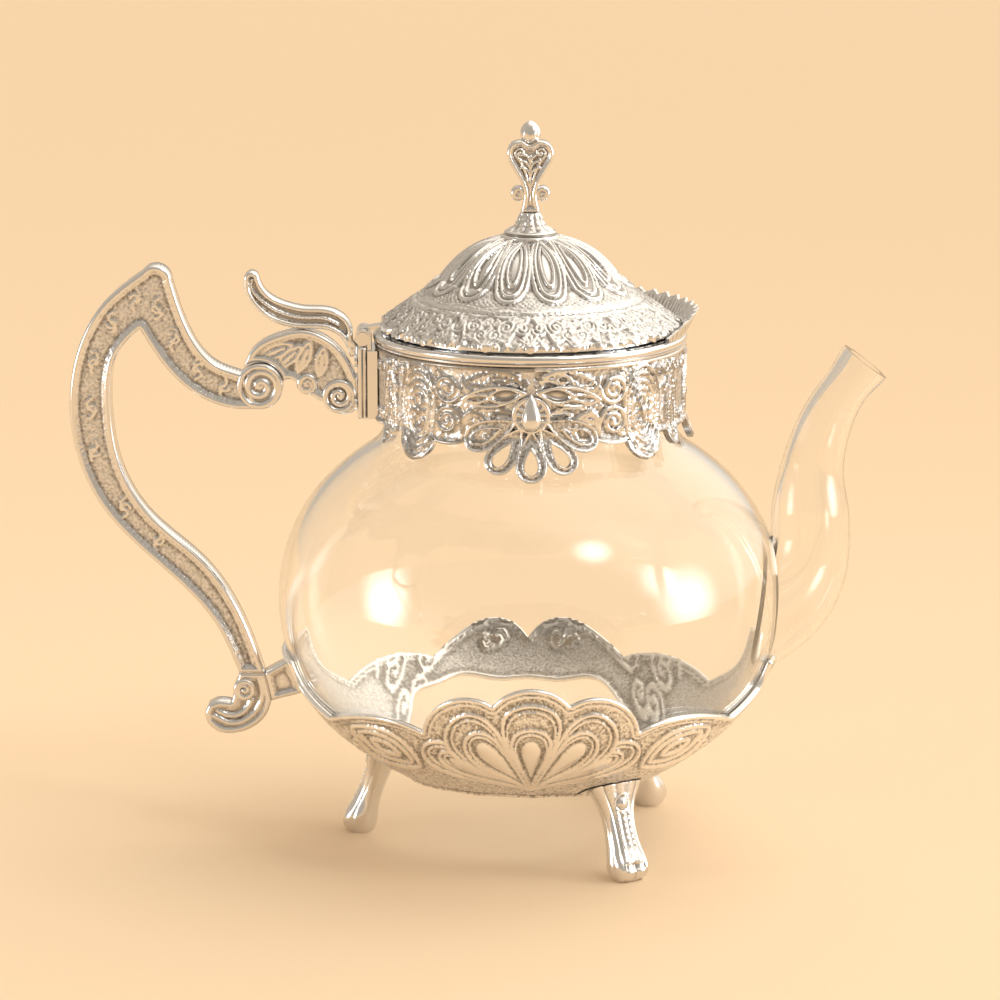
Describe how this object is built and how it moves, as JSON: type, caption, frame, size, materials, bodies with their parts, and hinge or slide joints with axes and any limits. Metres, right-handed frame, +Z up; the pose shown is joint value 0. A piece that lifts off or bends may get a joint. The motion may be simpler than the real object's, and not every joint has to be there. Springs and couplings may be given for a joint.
{
  "type": "teapot",
  "caption": "Clear glass teapot with a glass spout, held in ornate silver mounts: a footed cradle, a scrolled handle and a collar with a hinged domed lid.",
  "frame": {"origin": "centre of the bounding box in plan, at the floor", "axes": "+Z up, +X towards the spout, handle towards -X, picture taken from -Y"},
  "size_m": [0.2092, 0.131, 0.1892],
  "materials": {
    "silver": "polished silver plate with darkened recesses",
    "glass": "clear polished",
    "sleeve": "soft, pale"
  },
  "bodies": {
    "pot": {"glass_body": "glass", "glass_spout": "glass", "neck_sleeve": "sleeve", "collar_band": "silver", "collar_rim": "silver", "collar_gallery": "silver", "collar_rosettes": "silver", "hinge_plate": "silver", "handle_plate": "silver", "plate_screws": "silver", "hinge_pin": "silver", "handle_grip": "silver", "handle_scroll": "silver", "handle_tail": "silver", "handle_strut": "silver", "thumb_rest": "silver", "cradle": "silver", "foot_front": "silver", "foot_back": "silver", "foot_left": "silver"},
    "lid": {"lid_brim": "silver", "lid_bezel": "silver", "lid_leaf": "silver", "lid_dome": "silver", "finial_base": "silver", "finial": "silver", "finial_screw": "silver"}
  },
  "joints": [
    {"name": "lid_hinge", "type": "hinge", "parent": "pot", "child": "lid", "pos_m": [-0.0291, 0.00029, 0.13404], "axis": [0, -1, 0], "range_deg": [0, 90]}
  ]
}
